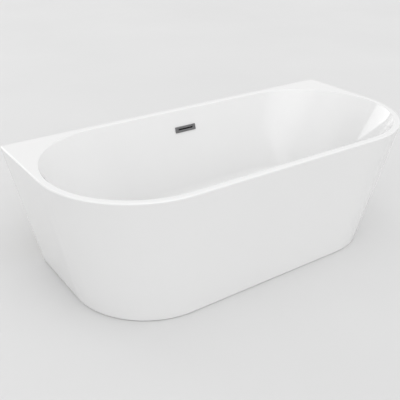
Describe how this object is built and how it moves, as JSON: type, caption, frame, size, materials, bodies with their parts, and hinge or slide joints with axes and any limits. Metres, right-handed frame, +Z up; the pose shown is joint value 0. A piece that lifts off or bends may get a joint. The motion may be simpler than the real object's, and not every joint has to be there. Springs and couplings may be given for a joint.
{
  "type": "freestanding bathtub",
  "caption": "Back-to-wall freestanding bathtub with a D-shaped rim, stadium basin, tapered skirt, slotted overflow, click-clack waste and levelling feet.",
  "frame": {"origin": "floor level under the middle of the bath", "axes": "+X along the length, +Y to the wall behind the bath, +Z up"},
  "size_m": [1.7, 0.8, 0.577],
  "materials": {
    "basin_acrylic": "high-gloss white sanitary acrylic, matt glass-fibre backing underneath",
    "skirt_acrylic": "high-gloss white sanitary acrylic outside, matt glass-fibre backing inside",
    "base_board": "particle board under a thin resin coat",
    "frame_steel": "galvanised square tube with spangle and weld marks",
    "end_plug_plastic": "black moulded polyethylene",
    "zinc_steel": "bright zinc-plated steel",
    "stud_steel": "zinc-plated threaded rod",
    "foot_plastic": "black moulded nylon",
    "block_wood": "sawn softwood",
    "brace_plywood": "birch plywood",
    "cover_graphite": "satin graphite plating",
    "waste_graphite": "satin graphite plating",
    "seal_rubber": "black rubber",
    "body_plastic": "white polypropylene",
    "overflow_plastic": "dark grey moulded polypropylene",
    "nut_plastic": "white moulded polypropylene",
    "hose_plastic": "grey-white flexible hose",
    "brass": "turned brass"
  },
  "bodies": {
    "root": {"tub_shell": "basin_acrylic", "outer_skirt": "skirt_acrylic", "base_board": "base_board", "frame_rail_front": "frame_steel", "frame_rail_back": "frame_steel", "crossbar_left": "frame_steel", "crossbar_right": "frame_steel", "crossbar_middle": "frame_steel", "tube_end_plugs": "end_plug_plastic", "rail_screws": "zinc_steel", "foot_weld_nuts": "zinc_steel", "foot_lock_nuts": "zinc_steel", "bracket_screws": "zinc_steel", "brace_screws": "zinc_steel", "overflow_screws": "zinc_steel", "skirt_bracket_left": "zinc_steel", "skirt_bracket_right": "zinc_steel", "hose_clips": "zinc_steel", "skirt_block_left": "block_wood", "skirt_block_right": "block_wood", "corner_block_left": "block_wood", "corner_block_right": "block_wood", "rear_brace": "brace_plywood", "overflow_cover": "cover_graphite", "waste_flange": "waste_graphite", "overflow_front_gasket": "seal_rubber", "overflow_back_gasket": "seal_rubber", "waste_top_gasket": "seal_rubber", "waste_bottom_gasket": "seal_rubber", "trap_ring_seal": "seal_rubber", "trap_outlet_seal": "seal_rubber", "waste_body": "body_plastic", "trap_cup": "body_plastic", "overflow_body": "overflow_plastic", "trap_ring_nut": "nut_plastic", "trap_outlet_nut": "nut_plastic", "overflow_hose": "hose_plastic", "click_cartridge": "brass"},
    "plug": {"plug_cap": "waste_graphite", "plug_seal": "seal_rubber", "plug_stem": "brass"},
    "pad_front_left": {"foot_pad_front_left": "foot_plastic"},
    "stud_front_left": {"foot_stud_front_left": "stud_steel"},
    "pad_front_right": {"foot_pad_front_right": "foot_plastic"},
    "stud_front_right": {"foot_stud_front_right": "stud_steel"},
    "pad_back_left": {"foot_pad_back_left": "foot_plastic"},
    "stud_back_left": {"foot_stud_back_left": "stud_steel"},
    "pad_back_right": {"foot_pad_back_right": "foot_plastic"},
    "stud_back_right": {"foot_stud_back_right": "stud_steel"},
    "pad_middle": {"foot_pad_middle": "foot_plastic"},
    "stud_middle": {"foot_stud_middle": "stud_steel"}
  },
  "joints": [
    {"name": "plug_lift", "type": "slide", "parent": "root", "child": "plug", "axis": [0, 0, 1], "range_m": [0, 0.009]},
    {"name": "height_front_left", "type": "slide", "parent": "root", "child": "pad_front_left", "axis": [0, 0, -1], "range_m": [-0.005, 0.025]},
    {"name": "turn_front_left", "type": "hinge", "parent": "pad_front_left", "child": "stud_front_left", "pos_m": [-0.4, -0.215, 0.02], "axis": [0, 0, 1], "range_deg": [-1028.63, 5142.91]},
    {"name": "height_front_right", "type": "slide", "parent": "root", "child": "pad_front_right", "axis": [0, 0, -1], "range_m": [-0.005, 0.025]},
    {"name": "turn_front_right", "type": "hinge", "parent": "pad_front_right", "child": "stud_front_right", "pos_m": [0.4, -0.215, 0.02], "axis": [0, 0, 1], "range_deg": [-1028.63, 5142.91]},
    {"name": "height_back_left", "type": "slide", "parent": "root", "child": "pad_back_left", "axis": [0, 0, -1], "range_m": [-0.005, 0.025]},
    {"name": "turn_back_left", "type": "hinge", "parent": "pad_back_left", "child": "stud_back_left", "pos_m": [-0.4, 0.262, 0.02], "axis": [0, 0, 1], "range_deg": [-1028.63, 5142.91]},
    {"name": "height_back_right", "type": "slide", "parent": "root", "child": "pad_back_right", "axis": [0, 0, -1], "range_m": [-0.005, 0.025]},
    {"name": "turn_back_right", "type": "hinge", "parent": "pad_back_right", "child": "stud_back_right", "pos_m": [0.4, 0.262, 0.02], "axis": [0, 0, 1], "range_deg": [-1028.63, 5142.91]},
    {"name": "height_middle", "type": "slide", "parent": "root", "child": "pad_middle", "axis": [0, 0, -1], "range_m": [-0.005, 0.025]},
    {"name": "turn_middle", "type": "hinge", "parent": "pad_middle", "child": "stud_middle", "pos_m": [-0.16, 0, 0.02], "axis": [0, 0, 1], "range_deg": [-1028.63, 5142.91]}
  ],
  "couplings": [
    {"joint": "turn_front_left", "follows": "height_front_left", "rad_per_m": 3590.4},
    {"joint": "turn_front_right", "follows": "height_front_right", "rad_per_m": 3590.4},
    {"joint": "turn_back_left", "follows": "height_back_left", "rad_per_m": 3590.4},
    {"joint": "turn_back_right", "follows": "height_back_right", "rad_per_m": 3590.4},
    {"joint": "turn_middle", "follows": "height_middle", "rad_per_m": 3590.4}
  ]
}
